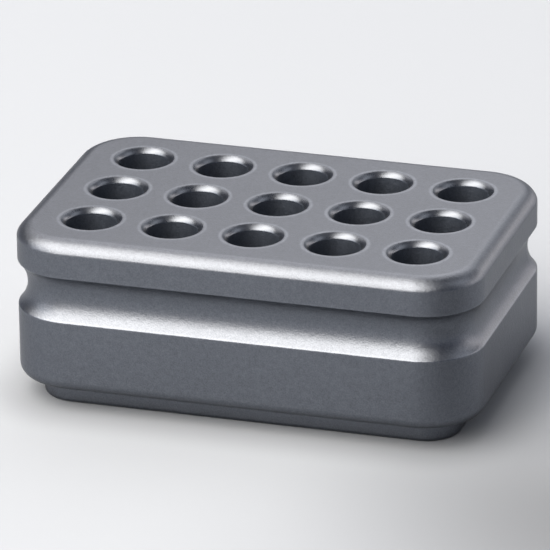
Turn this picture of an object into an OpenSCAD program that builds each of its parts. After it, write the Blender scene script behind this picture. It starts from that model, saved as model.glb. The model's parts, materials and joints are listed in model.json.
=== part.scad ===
// Microcentrifuge tube rack: one solid block of anodised aluminium with a grid of
// drilled wells, a finger groove milled right round its sides and a stepped-in foot.
// The origin is at the middle of the underside. X runs along the rows of wells, Z is up.

/* [Wells] */
// Wells along each row
columns = 5; // [1:1:12]
// Rows of wells, front to back
rows = 3; // [1:1:8]
// Distance between neighbouring well axes, both ways
pitch = 18; // [14:0.5:30]
// Diameter of a well, a sliding fit over a 10.8 mm tube
well_d = 11; // [6:0.1:12]
// Depth of the straight wall of a well, from the top of the block
well_depth = 32; // [20:0.5:60]
// Full angle of the cone that the drill leaves at the bottom of a well
drill_angle = 118; // [90:1:150]
// How far the mouth of a well opens out, and how far down it starts
mouth_w = 1.1; // [0.3:0.1:1.5]
// Angle that the lip of a mouth curves through, 90 for a full quarter round
mouth_turn = 40; // [20:1:90]

/* [Block] */
// From the axes of the end columns to the end faces
end_margin = 15.4; // [14:0.1:30]
// From the axes of the outer rows to the front and back faces
side_margin = 15.2; // [14:0.1:30]
// Metal left under the tip of a well
floor_t = 3.5; // [1.5:0.1:10]
// Radius of the four upright corners, seen from above
corner_r = 13; // [10:0.1:14]

/* [Top edge] */
// Radius of the curve that rounds the top edge
top_edge_r = 3.9; // [1:0.1:4.5]
// Angle the curve turns through before it meets the side, 90 when it runs in smoothly
top_edge_turn = 70; // [50:1:90]

/* [Finger groove] */
// From the top of the block down to the groove
groove_drop = 8; // [5:0.1:9]
// Height of the groove where it opens in the side
groove_h = 10.2; // [6:0.1:12]
// Depth of the groove into the side, under half its height
groove_d = 2.1; // [0.5:0.1:2.9]

/* [Foot] */
// Height of the stepped-in foot
foot_h = 4.6; // [1.5:0.1:8]
// How far the foot is set in from the sides
foot_inset = 5.1; // [3:0.1:7]
// Radius that rounds the bottom edge of the block, above the foot
bottom_edge_r = 2.6; // [0.5:0.1:2.9]
// Radius that breaks the lower edge of the foot
foot_edge_r = 1; // [0.2:0.1:1.4]

/* [Hidden] */
$fn = 96;
well_r = well_d / 2;
tip_h = well_r / tan(drill_angle / 2);
block_l = (columns - 1) * pitch + 2 * end_margin;
block_w = (rows - 1) * pitch + 2 * side_margin;
block_h = floor_t + tip_h + well_depth;
core_l = block_l - 2 * corner_r;
core_w = block_w - 2 * corner_r;
lip_r = mouth_w / (sqrt(2) * sin(mouth_turn / 2));
lip_in = mouth_w / 2 + lip_r * cos(mouth_turn / 2) / sqrt(2);
groove_arc_r = (pow(groove_h / 2, 2) + pow(groove_d, 2)) / (2 * groove_d);
groove_z = block_h - groove_drop - groove_h / 2;
// Cuts run this far past the face that they open
over = 1;

// The waste outside a quarter round of radius r, whose arc is centred on the origin
module corner_waste(r) {
    difference() {
        square(r + over);
        circle(r = r);
    }
}

// Upright section of the block's wall, from a corner's axis (x = 0) out to the side
module wall_section() {
    difference() {
        union() {
            square([corner_r - foot_inset, block_h]);
            translate([0, foot_h]) square([corner_r, block_h - foot_h]);
        }
        translate([corner_r - groove_d + groove_arc_r, groove_z]) circle(r = groove_arc_r);
        translate([corner_r - top_edge_r * sin(top_edge_turn), block_h - top_edge_r])
            corner_waste(top_edge_r);
        translate([corner_r - bottom_edge_r, foot_h + bottom_edge_r])
            mirror([0, 1]) corner_waste(bottom_edge_r);
        translate([corner_r - foot_inset - foot_edge_r, foot_edge_r])
            mirror([0, 1]) corner_waste(foot_edge_r);
    }
}

// Straight stretch of wall, its section facing +X and its length centred on Y
module wall_run(length) {
    rotate([90, 0, 0]) linear_extrude(height = length, center = true) wall_section();
}

// The outer form: a plain core, four straight walls and four turned corners
module block_form() {
    translate([-core_l / 2, -core_w / 2, 0]) cube([core_l, core_w, block_h]);
    for (side = [0, 1]) rotate([0, 0, side * 180]) {
        translate([core_l / 2, 0, 0]) wall_run(core_w);
        rotate([0, 0, 90]) translate([core_w / 2, 0, 0]) wall_run(core_l);
        translate([core_l / 2, core_w / 2, 0]) rotate_extrude(angle = 90) wall_section();
        translate([-core_l / 2, core_w / 2, 0]) rotate([0, 0, 90])
            rotate_extrude(angle = 90) wall_section();
    }
}

// Half section of the tool that cuts a well: drill point, straight bore, opened mouth
module well_section() {
    polygon([[0, floor_t], [well_r, floor_t + tip_h], [well_r, block_h + over],
             [0, block_h + over]]);
    difference() {
        polygon([[well_r - over, block_h - mouth_w], [well_r, block_h - mouth_w],
                 [well_r + mouth_w, block_h], [well_r + mouth_w, block_h + over],
                 [well_r - over, block_h + over]]);
        translate([well_r + lip_in, block_h - lip_in]) circle(r = lip_r);
    }
}

module rack_block() {
    color("#696d74") difference() {
        block_form();
        for (column = [0 : columns - 1], row = [0 : rows - 1])
            translate([(column - (columns - 1) / 2) * pitch, (row - (rows - 1) / 2) * pitch, 0])
                rotate_extrude() well_section();
    }
}

rack_block();
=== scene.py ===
"""Microcentrifuge tube rack: one milled, drilled, bead-blasted and anodised block of aluminium."""
import json
import math

import bpy
from mathutils import Matrix, Vector


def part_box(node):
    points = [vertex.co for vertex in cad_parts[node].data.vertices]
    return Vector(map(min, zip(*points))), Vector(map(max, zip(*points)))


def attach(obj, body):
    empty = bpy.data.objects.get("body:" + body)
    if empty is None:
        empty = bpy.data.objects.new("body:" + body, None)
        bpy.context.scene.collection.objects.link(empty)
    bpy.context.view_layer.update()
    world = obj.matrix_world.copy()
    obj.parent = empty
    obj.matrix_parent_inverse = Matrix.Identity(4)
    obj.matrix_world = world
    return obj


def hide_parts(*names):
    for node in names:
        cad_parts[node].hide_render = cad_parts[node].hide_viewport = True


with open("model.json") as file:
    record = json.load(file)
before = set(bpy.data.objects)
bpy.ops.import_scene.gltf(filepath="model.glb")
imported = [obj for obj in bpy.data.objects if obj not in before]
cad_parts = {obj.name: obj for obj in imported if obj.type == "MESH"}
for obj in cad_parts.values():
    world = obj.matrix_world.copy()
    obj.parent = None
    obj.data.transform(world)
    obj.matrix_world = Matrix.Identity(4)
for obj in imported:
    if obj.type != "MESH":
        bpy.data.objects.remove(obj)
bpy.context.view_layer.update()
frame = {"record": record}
scene = bpy.context.scene
scene.view_settings.view_transform = "Standard"


# ---- Camera ----------------------------------------------------------------------------
# A long lens well back from the rack, a little to its right and looking down on it. It leans
# by less than a degree.

camera_azimuth = math.radians(17.328)
camera_elevation = math.radians(22.612)
camera_roll = math.radians(-0.761)
camera_distance = 1.3960
camera_target = Vector((-0.00093, 0.0, 0.02241))

camera_data = bpy.data.cameras.new("camera")
camera_data.sensor_width = 36
camera_data.lens = 426.13
camera_data.clip_start, camera_data.clip_end = 0.05, 50
camera = bpy.data.objects.new("camera", camera_data)
scene.collection.objects.link(camera)
scene.camera = camera


def direction(azimuth, elevation):
    """Unit vector; azimuth 0 is the front, -Y, and 90 degrees the right-hand end, +X."""
    level = math.cos(elevation)
    return Vector((math.sin(azimuth) * level, -math.cos(azimuth) * level, math.sin(elevation)))


back = direction(camera_azimuth, camera_elevation)
right = Vector((math.cos(camera_azimuth), math.sin(camera_azimuth), 0))
up = back.cross(right)
rolled_right = math.cos(camera_roll) * right + math.sin(camera_roll) * up
rolled_up = back.cross(rolled_right)
camera.matrix_world = (Matrix.Translation(camera_target + camera_distance * back)
                       @ Matrix((rolled_right, rolled_up, back)).transposed().to_4x4())


# ---- The block -------------------------------------------------------------------------
# One billet of aluminium, milled to a rounded rectangle. A single wall section runs right
# round it: rounded top edge, finger groove, rounded bottom edge, and a foot stepped in below.
# Blasting has taken the sharpness off the crisp corners.

low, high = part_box("rack_block")
block_l, block_w, block_h = high - low
corner_r, corner_steps = 0.013, 32
top_edge_r, top_edge_turn = 0.0039, math.radians(70)
groove_drop, groove_h, groove_d = 0.008, 0.0102, 0.0021
bottom_edge_r = 0.0026
foot_h, foot_inset, foot_edge_r = 0.0046, 0.0051, 0.001
# Where the section turns by more than crisp_turn it has a corner, cut back by crisp_reach
crisp_turn, crisp_reach = math.radians(12), 0.00022


class Wire:
    """A value in a node tree: arithmetic on it adds Math nodes, and node() any other node."""

    def __init__(self, tree, socket=None):
        self.tree, self.socket = tree, socket

    def node(self, kind, inputs=None, output=0, **settings):
        made = self.tree.nodes.new(kind)
        for name, value in settings.items():
            setattr(made, name, value)
        for name, value in (inputs or {}).items():
            for single in value if isinstance(value, list) else [value]:
                if isinstance(single, Wire):
                    self.tree.links.new(single.socket, made.inputs[name])
                else:
                    made.inputs[name].default_value = single
        return Wire(self.tree, made.outputs[output]) if made.outputs else None

    def __getitem__(self, name):
        return Wire(self.tree, self.socket.node.outputs[name])

    def maths(self, operation, *values):
        return self.node("ShaderNodeMath", dict(enumerate(values)), operation=operation)

    def vector(self, operation, *values):
        """Vector Math; a length or a distance comes out as a number."""
        output = "Value" if operation in ("LENGTH", "DISTANCE") else "Vector"
        return self.node("ShaderNodeVectorMath", dict(enumerate(values)), output,
                         operation=operation)

    def ramp(self, start, end, first, last, shape="SMOOTHSTEP"):
        """Runs from first, where this value is at start or below, to last, at end or above."""
        return self.node("ShaderNodeMapRange", {
            "Value": self, "From Min": start, "From Max": end, "To Min": first, "To Max": last},
            interpolation_type=shape)

    def __add__(self, other):
        return self.maths("ADD", self, other)

    def __sub__(self, other):
        return self.maths("SUBTRACT", self, other)

    def __rsub__(self, other):
        return self.maths("SUBTRACT", other, self)

    def __mul__(self, other):
        return self.maths("MULTIPLY", self, other)

    def __truediv__(self, other):
        return self.maths("DIVIDE", self, other)

    def __neg__(self):
        return self.maths("MULTIPLY", self, -1.0)

    def __gt__(self, other):
        return self.maths("GREATER_THAN", self, other)

    def __lt__(self, other):
        return self.maths("LESS_THAN", self, other)

    __radd__, __rmul__ = __add__, __mul__


def cutter_arc(out, height, radius, start, end, steps):
    """Points on an arc of the wall section; its angles are 0 straight out and 90 straight up."""
    angles = [math.radians(start + (end - start) * i / steps) for i in range(steps + 1)]
    return [Vector((out + radius * math.cos(a), height + radius * math.sin(a))) for a in angles]


def blasted(points):
    """The wall section with each crisp corner taken back to a small curve."""
    kept = [points[0]]
    for before, corner, after in zip(points, points[1:], points[2:]):
        arriving, leaving = corner - before, after - corner
        if arriving.angle(leaving) < crisp_turn:
            kept.append(corner)
            continue
        start = corner - arriving.normalized() * crisp_reach
        end = corner + leaving.normalized() * crisp_reach
        for along in (0, 0.25, 0.5, 0.75, 1):
            kept.append(start * (1 - along) ** 2 + corner * 2 * along * (1 - along)
                        + end * along * along)
    return kept + [points[-1]]


# x is out from the side, so the metal is at minus x, and y is the height
groove_arc_r = ((groove_h / 2) ** 2 + groove_d ** 2) / (2 * groove_d)
groove_turn = math.degrees(math.asin(groove_h / 2 / groove_arc_r))
groove_z = block_h - groove_drop - groove_h / 2
wall = (
    cutter_arc(-top_edge_r * math.sin(top_edge_turn), block_h - top_edge_r, top_edge_r,
               90, 90 - math.degrees(top_edge_turn), steps=16)
    + cutter_arc(groove_arc_r - groove_d, groove_z, groove_arc_r,
                 180 - groove_turn, 180 + groove_turn, steps=32)
    + cutter_arc(-bottom_edge_r, foot_h + bottom_edge_r, bottom_edge_r, 0, -90, steps=12)
    + [Vector((-foot_inset, foot_h))]
    + cutter_arc(-foot_inset - foot_edge_r, foot_edge_r, foot_edge_r, 0, -90, steps=8)
)
wall = blasted(wall)
section_curve = bpy.data.curves.new("wall_section", "CURVE")
section_curve.dimensions = "3D"
section_spline = section_curve.splines.new("POLY")
section_spline.points.add(len(wall) - 1)
for wall_point, (out, height) in zip(section_spline.points, wall):
    wall_point.co = (out, block_h - height, 0, 1)
wall_section = bpy.data.objects.new("wall_section", section_curve)
scene.collection.objects.link(wall_section)

machining = bpy.data.node_groups.new("milled_and_drilled", "GeometryNodeTree")
for name, kind in (("Wall section", "Object"), ("Finish", "Material"), ("Length", "Float"),
                   ("Width", "Float"), ("Height", "Float"), ("Corner radius", "Float"),
                   ("Columns", "Int"), ("Rows", "Int"), ("Pitch", "Float"),
                   ("Well radius", "Float"), ("Well depth", "Float"),
                   ("Drill point", "Float"), ("Mouth width", "Float"),
                   ("Lip radius", "Float"), ("Lip turn", "Float")):
    machining.interface.new_socket(name, in_out="INPUT", socket_type="NodeSocket" + kind)
machining.interface.new_socket("Geometry", in_out="OUTPUT", socket_type="NodeSocketGeometry")
shop = Wire(machining)
sizes = shop.node("NodeGroupInput")


def xyz(x=0.0, y=0.0, z=0.0):
    return shop.node("ShaderNodeCombineXYZ", {"X": x, "Y": y, "Z": z})


# The wall section is swept round the rounded rectangle, with the top face at height 0 for now
outline = shop.node("GeometryNodeCurvePrimitiveQuadrilateral",
                    {"Width": sizes["Length"], "Height": sizes["Width"]}, mode="RECTANGLE")
outline = shop.node("GeometryNodeFilletCurve", {
    "Curve": outline, "Count": corner_steps, "Radius": sizes["Corner radius"]}, mode="POLY")
outline = shop.node("GeometryNodeSetCurveNormal", {"Curve": outline}, mode="Z_UP")
profile = shop.node("GeometryNodeObjectInfo", {"Object": sizes["Wall section"]})["Geometry"]
walls = shop.node("GeometryNodeCurveToMesh", {"Curve": outline, "Profile Curve": profile})
place = shop.node("ShaderNodeSeparateXYZ", {
    "Vector": shop.node("GeometryNodeInputPosition")})["Z"]
# An open edge has one face on it, where the others have two
open_edge = shop.node("GeometryNodeInputMeshEdgeNeighbors") < 1.5
half_down = sizes["Height"] * -0.5
top_rim = shop.node("GeometryNodeMeshToCurve", {
    "Mesh": walls, "Selection": open_edge * (place > half_down)})
foot_rim = shop.node("GeometryNodeMeshToCurve", {
    "Mesh": walls, "Selection": open_edge * (place < half_down)})


# ---- The wells -------------------------------------------------------------------------
# Fifteen blind holes on a square grid: drilled, reamed to a sliding fit for a tube, and
# opened at the mouth with a slightly crowned countersink. The drill's point is left below.

bores = [m for m in frame["record"]["mounts"] if m["kind"] == "bore"]
across = sorted({round(m["pos_m"][0], 6) for m in bores})
deep = sorted({round(m["pos_m"][1], 6) for m in bores})
well_r = bores[0]["dims"]["r_mm"] / 1000
well_depth, drill_angle = 0.032, math.radians(118)
drill_point = well_r / math.tan(drill_angle / 2)
mouth_w, lip_turn = 0.0011, math.radians(40)
lip_r = mouth_w / (math.sqrt(2) * math.sin(lip_turn / 2))
well_steps, lip_points = 96, 9
# Points closer than this are one, and faces that meet at less than this angle shade as one
weld, smooth_turn = 1e-6, math.radians(20)

# Half section of the cut: x is out from the wall of the bore and y is down from the top face.
# The lip's arc is crowned, so its centre lies in the metal.
lip_in = sizes["Mouth width"] * 0.5 + (
    sizes["Lip radius"] * shop.maths("COSINE", sizes["Lip turn"] * 0.5) * math.sqrt(0.5))
lip = shop.node("GeometryNodeCurveArc", {
    "Resolution": lip_points, "Radius": sizes["Lip radius"],
    "Start Angle": math.radians(-135) + sizes["Lip turn"] * 0.5,
    "Sweep Angle": -sizes["Lip turn"]}, mode="RADIUS")
lip = shop.node("GeometryNodeTransform", {
    "Geometry": lip, "Translation": xyz(lip_in, lip_in)})
bore = shop.node("GeometryNodeCurvePrimitiveLine", {
    "Start": xyz(0.0, sizes["Mouth width"]), "End": xyz(0.0, sizes["Well depth"])})
point = shop.node("GeometryNodeCurvePrimitiveLine", {
    "Start": xyz(0.0, sizes["Well depth"]),
    "End": xyz(-sizes["Well radius"], sizes["Well depth"] + sizes["Drill point"])})
cut = shop.node("GeometryNodeJoinGeometry", {"Geometry": [lip, bore, point]})
turn = shop.node("GeometryNodeCurvePrimitiveCircle", {
    "Resolution": well_steps, "Radius": sizes["Well radius"]}, mode="RADIUS")
turn = shop.node("GeometryNodeSetCurveNormal", {"Curve": turn}, mode="Z_UP")
well = shop.node("GeometryNodeCurveToMesh", {"Curve": turn, "Profile Curve": cut})
well = shop.node("GeometryNodeMergeByDistance", {"Geometry": well, "Distance": weld})
well = shop.node("GeometryNodeFlipFaces", {"Mesh": well})
# bored is 0 at the top face, rises down the lip and is 1 in the straight bore and below it
well = shop.node("GeometryNodeStoreNamedAttribute", {
    "Geometry": well, "Name": "bored",
    "Value": shop.maths("MINIMUM", -place / sizes["Mouth width"], 1.0)},
    data_type="FLOAT", domain="POINT")
grid = shop.node("GeometryNodeMeshGrid", {
    "Size X": (sizes["Columns"] - 1.0) * sizes["Pitch"], "Vertices X": sizes["Columns"],
    "Size Y": (sizes["Rows"] - 1.0) * sizes["Pitch"], "Vertices Y": sizes["Rows"]})
wells = shop.node("GeometryNodeInstanceOnPoints", {"Points": grid, "Instance": well})
opening = shop.node("GeometryNodeCurvePrimitiveCircle", {
    "Resolution": well_steps, "Radius": sizes["Well radius"] + sizes["Mouth width"]},
    mode="RADIUS")
openings = shop.node("GeometryNodeInstanceOnPoints", {"Points": grid, "Instance": opening})
openings = shop.node("GeometryNodeRealizeInstances", {"Geometry": openings})

# The top face is filled between its rim and the fifteen openings, and the underside is plain
rims = shop.node("GeometryNodeJoinGeometry", {"Geometry": [top_rim, openings]})
top_face = shop.node("GeometryNodeFillCurve", {"Curve": rims}, mode="TRIANGLES")
underside = shop.node("GeometryNodeFillCurve", {"Curve": foot_rim}, mode="NGONS")
underside = shop.node("GeometryNodeTransform", {
    "Geometry": underside, "Translation": xyz(z=-sizes["Height"])})
underside = shop.node("GeometryNodeFlipFaces", {"Mesh": underside})
solid = shop.node("GeometryNodeJoinGeometry", {
    "Geometry": [walls, top_face, underside, wells]})
solid = shop.node("GeometryNodeRealizeInstances", {"Geometry": solid})
solid = shop.node("GeometryNodeMergeByDistance", {"Geometry": solid, "Distance": weld})
solid = shop.node("GeometryNodeTransform", {
    "Geometry": solid, "Translation": xyz(z=sizes["Height"])})
solid = shop.node("GeometryNodeSetShadeSmooth", {"Geometry": solid}, domain="FACE")
solid = shop.node("GeometryNodeSetShadeSmooth", {
    "Geometry": solid,
    "Shade Smooth": shop.node("GeometryNodeInputMeshEdgeAngle") < smooth_turn},
    domain="EDGE")
solid = shop.node("GeometryNodeSetMaterial", {"Geometry": solid, "Material": sizes["Finish"]})
shop.node("NodeGroupOutput", {"Geometry": solid})


# ---- The finish ------------------------------------------------------------------------
# Bead-blasted to an even satin, then anodised and dyed dark grey, so it stays a metal with a
# fine grain. The dye takes a little unevenly and the lips of the wells stay smoother. Edges are
# rubbed paler, and a pale ring round each mouth is a painted highlight. The walls of the wells are
# painted darker and bluer, as painted shade, and the reamer has left faint rings down the wells.

# The wells' grey is painted shade: darker and bluer than the faces', for the dimmer, cooler light
# inside them
face_grey, bore_painted_shade_grey = (0.139, 0.150, 0.172, 1), (0.114, 0.132, 0.168, 1)
edge_tint = (0.75, 0.75, 0.75, 1)
anodised = bpy.data.materials.new("anodised_aluminium_dark_grey")
anodised.use_nodes = True
anodised.node_tree.nodes.clear()
dye = Wire(anodised.node_tree)
where = dye.node("ShaderNodeTexCoord")["Object"]
level = dye.node("ShaderNodeSeparateXYZ", {"Vector": where})["Z"]
bored = dye.node("ShaderNodeAttribute", {}, attribute_name="bored")["Fac"]


def speckle(per_metre, detail=2.0):
    """Noise from about -1 to 1 with this many features to the metre."""
    noise = dye.node("ShaderNodeTexNoise", {
        "Vector": where, "Scale": per_metre, "Detail": detail, "Roughness": 0.5})
    return (noise["Fac"] - 0.5) * 2.0


def near(value, middle, reach):
    """1 where the value is at its middle, falling to 0 at this distance either side."""
    return dye.maths("ABSOLUTE", value - middle).ramp(0.0, reach, 1.0, 0.0)


grain, mottle = speckle(3200.0), speckle(1100.0)
cloud, smudge = speckle(45.0, detail=3.0), speckle(160.0)

# The two edges of the groove are rubbed, but not the wells at the same heights
groove_top, crisp_band = block_h - groove_drop, 0.0006
crisp = near(level, groove_top, crisp_band) + near(level, groove_top - groove_h, crisp_band)
crisp = crisp * (1.0 - bored)

# The axis of the nearest well, and how far outside its mouth a point is
pitch = across[1] - across[0]
axis = dye.vector("ADD", where, (pitch / 2, pitch / 2, 0))
axis = dye.vector("SNAP", axis, (pitch, pitch, pitch))
axis = dye.vector("MAXIMUM", axis, (across[0], deep[0], 0))
axis = dye.vector("MINIMUM", axis, (across[-1], deep[-1], 0))
aside = dye.vector("SUBTRACT", where, axis)
aside = dye.vector("MULTIPLY", aside, (1, 1, 0))
beyond = dye.vector("LENGTH", aside) - (well_r + mouth_w)

# A painted highlight: a pale ring half a millimetre outside each mouth
ring_out, ring_reach, ring_highlight_strength = 0.0005, 0.00055, 3.2
painted_mouth_highlight = near(beyond, ring_out, ring_reach)
patchy = 0.8 + 0.4 * mottle
# Paler where the groove's edges are rubbed, and in the painted highlight ring round each mouth
rub_and_painted_highlight = (crisp + ring_highlight_strength * painted_mouth_highlight) * patchy

# The reamer's rings are one feed apart, and waver a little
reamer_feed, reamer_waver = 0.00035, 1.5
rings = dye.maths("SINE", level * (2 * math.pi / reamer_feed) + reamer_waver * smudge)

# The lip lies between these two values of bored, and the straight bore above the second
lip_from, lip_to, lip_polish = 0.03, 0.97, 0.7
in_bore = bored > lip_to
on_lip = (bored > lip_from) * (1.0 - in_bore)
unpolished = 1.0 - lip_polish * on_lip

# How much each thing lightens the metal
grain_tone, mottle_tone, cloud_tone, rub_and_highlight_tone = 0.33, 0.14, 0.05, 0.16
blasting = (grain_tone * grain + mottle_tone * mottle) * unpolished
tone = 1.0 + cloud_tone * cloud + blasting + rub_and_highlight_tone * rub_and_painted_highlight
colour = dye.node("ShaderNodeMix", {
    "Factor": in_bore, 6: face_grey, 7: bore_painted_shade_grey}, 2, data_type="RGBA")
colour = dye.node("ShaderNodeVectorMath", {0: colour, "Scale": tone}, operation="SCALE")

# How much each thing roughens the satin or smooths it
satin, smudge_haze, grain_haze, mottle_haze = 0.35, 0.03, 0.05, 0.02
crisp_shine, lip_shine, bore_haze = 0.04, 0.06, 0.18
roughness = (satin + smudge_haze * smudge + grain_haze * grain + mottle_haze * mottle
             - crisp_shine * crisp - lip_shine * on_lip + bore_haze * in_bore)

# How deep the blasting and the reamer cut
blast_depth, mottle_share, reamer_depth, bump_strength = 0.00004, 0.8, 0.00001, 0.5
blast = dye.node("ShaderNodeBump", {
    "Height": (grain + mottle_share * mottle) * unpolished, "Strength": bump_strength,
    "Distance": blast_depth})
reamed = dye.node("ShaderNodeBump", {
    "Height": rings * bored, "Strength": bump_strength, "Distance": reamer_depth,
    "Normal": blast})
metal = dye.node("ShaderNodeBsdfPrincipled", {
    "Base Color": colour, "Metallic": 1.0, "Roughness": roughness, "Normal": reamed,
    "Specular Tint": edge_tint})
dye.node("ShaderNodeOutputMaterial", {"Surface": metal})

# The stock goes through the tree once, and what comes out is kept as a plain mesh
stock = bpy.data.objects.new("stock", bpy.data.meshes.new("stock"))
scene.collection.objects.link(stock)
cutting = stock.modifiers.new("machining", "NODES")
cutting.node_group = machining
settings = {
    "Wall section": wall_section, "Finish": anodised, "Length": block_l, "Width": block_w,
    "Height": block_h, "Corner radius": corner_r, "Columns": len(across), "Rows": len(deep),
    "Pitch": pitch, "Well radius": well_r, "Well depth": well_depth,
    "Drill point": drill_point, "Mouth width": mouth_w, "Lip radius": lip_r,
    "Lip turn": lip_turn}
for socket in machining.interface.items_tree:
    if socket.in_out == "INPUT":
        cutting[socket.identifier] = settings[socket.name]
stock.modifiers.new("even_normals", "WEIGHTED_NORMAL").keep_sharp = True
made = stock.evaluated_get(bpy.context.evaluated_depsgraph_get())
block = bpy.data.objects.new("milled_block", bpy.data.meshes.new_from_object(made))
block.data.name = "milled_block"
block.data.materials.clear()
block.data.materials.append(anodised)
scene.collection.objects.link(block)
for spare in (stock, wall_section):
    bpy.data.objects.remove(spare)

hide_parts("rack_block")
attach(block, "root")


# ---- The studio ------------------------------------------------------------------------
# A wide sheet of pale paper to stand on, with painted shadow beside the block and at its front
# right, one broad soft box high on the front left, smaller ones at the left, the back and the
# right, and a dim, cool room, lighter along its horizon.

floor_half = 3.0
floor_mesh = bpy.data.meshes.new("studio_floor")
floor_mesh.from_pydata([(-floor_half, -floor_half, 0), (floor_half, -floor_half, 0),
                        (floor_half, floor_half, 0), (-floor_half, floor_half, 0)],
                       [], [(0, 1, 2, 3)])
floor = bpy.data.objects.new("studio_floor", floor_mesh)
scene.collection.objects.link(floor)
paper = bpy.data.materials.new("studio_paper")
paper.use_nodes = True
paper.node_tree.nodes.clear()
sheet = Wire(paper.node_tree)
spot = sheet.node("ShaderNodeTexCoord")["Object"]
paper_near, paper_far = (0.366, 0.388, 0.424, 1), (0.4, 0.4, 0.4, 1)
near_ends, far_starts = 0.3, 1.2
far = sheet.vector("LENGTH", spot).ramp(near_ends, far_starts, 0.0, 1.0, "LINEAR")
tint = sheet.node("ShaderNodeMix", {
    "Factor": far, 6: paper_near, 7: paper_far}, 2, data_type="RGBA")


def painted_shadow_patch(middle, inner, outer, tone):
    """A painted shadow on the paper: this tone within the inner radius and full beyond the outer.
    """
    return sheet.vector("DISTANCE", spot, middle).ramp(inner, outer, tone, 1.0)


# Painted shadow: the paper is darker close beside the block, and in two soft patches at its front
# right
core = (block_l / 2 - corner_r, block_w / 2 - corner_r, 0)
beside = sheet.vector("ABSOLUTE", spot)
beside = sheet.vector("SUBTRACT", beside, core)
beside = sheet.vector("MAXIMUM", beside, (0, 0, 0))
beside = sheet.vector("LENGTH", beside) - corner_r
contact_shadow_inner, contact_shadow_outer, contact_shadow_tone = -0.003, 0.012, 0.72
painted_contact_shadow = beside.ramp(contact_shadow_inner, contact_shadow_outer, contact_shadow_tone, 1.0)
painted_corner_shadow = painted_shadow_patch((0.075, -0.048, 0), inner=0.0, outer=0.065, tone=0.7)
shade = painted_shadow_patch((0.16, -0.095, 0), inner=0.02, outer=0.17, tone=0.40)
# The paper's colour is darkened by these three painted shadows
tint = sheet.node("ShaderNodeVectorMath", {
    0: tint, "Scale": painted_contact_shadow * painted_corner_shadow * shade}, operation="SCALE")
plain = sheet.node("ShaderNodeBsdfDiffuse", {"Color": tint})
sheet.node("ShaderNodeOutputMaterial", {"Surface": plain})
floor_mesh.materials.append(paper)

# A box is four lamps, one behind the other and each wider than the last, so its edge is soft
rack_centre = Vector((0, 0, block_h / 2))
lamp_distance, lamp_gap, least_half = 1.7, 0.01, 0.02
spreads = (-1.946, -0.511, 0.511, 1.946)


def soft_box(name, azimuth, elevation, roll, half_width, half_height, radiance, feather,
             colour=(1, 1, 1)):
    """A box of lamps that faces the rack, sized as if it stood one metre away."""
    toward = direction(math.radians(azimuth), math.radians(elevation))
    side = Vector((0, 0, 1)).cross(toward).normalized()
    above = toward.cross(side)
    turn = math.radians(roll)
    tilted = math.cos(turn) * side + math.sin(turn) * above
    for layer, spread in enumerate(spreads):
        distance = lamp_distance + lamp_gap * layer
        lamp = bpy.data.lights.new("%s_%d" % (name, layer + 1), "AREA")
        lamp.shape = "RECTANGLE"
        lamp.size = 2 * distance * max(half_width + spread * feather, least_half)
        lamp.size_y = 2 * distance * max(half_height + spread * feather, least_half)
        lamp.energy = radiance / len(spreads) * math.pi * lamp.size * lamp.size_y
        lamp.color = colour
        light = bpy.data.objects.new(lamp.name, lamp)
        light.matrix_world = (Matrix.Translation(rack_centre + toward * distance) @ Matrix(
            (tilted, toward.cross(tilted), toward)).transposed().to_4x4())
        light.visible_camera = False
        scene.collection.objects.link(light)


soft_box("key_box", azimuth=-35, elevation=49.5, roll=-30, half_width=0.74,
         half_height=0.452, radiance=7.3, feather=0.12, colour=(1.07, 1.0, 0.90))
soft_box("left_box", azimuth=-62, elevation=20, roll=0, half_width=0.25,
         half_height=0.20, radiance=2.4, feather=0.07)
soft_box("back_left_box", azimuth=-154, elevation=48, roll=20, half_width=0.52,
         half_height=0.40, radiance=2.05, feather=0.10, colour=(1.05, 0.99, 0.94))
soft_box("back_fill", azimuth=172, elevation=34, roll=0, half_width=0.40,
         half_height=0.34, radiance=0.9, feather=0.12)
soft_box("back_right_box", azimuth=134, elevation=11, roll=0, half_width=0.60,
         half_height=0.15, radiance=2.3, feather=0.05, colour=(1.10, 1.0, 0.92))
soft_box("right_box", azimuth=100, elevation=38, roll=0, half_width=0.30,
         half_height=0.30, radiance=1.1, feather=0.08)

horizon_low, horizon_high = math.radians(1), math.radians(5)
horizon_strength, room_strength, room_colour = 0.6, 0.12, (0.86, 0.97, 1.3, 1)
world = bpy.data.worlds.new("studio_air")
world.use_nodes = True
world.node_tree.nodes.clear()
air = Wire(world.node_tree)
rise = air.node("ShaderNodeSeparateXYZ", {
    "Vector": air.node("ShaderNodeTexCoord")["Generated"]})["Z"]
room = rise.ramp(math.sin(horizon_low), math.sin(horizon_high), horizon_strength,
                 room_strength, "LINEAR")
room = air.node("ShaderNodeBackground", {"Color": room_colour, "Strength": room})
air.node("ShaderNodeOutputWorld", {"Surface": room})
scene.world = world
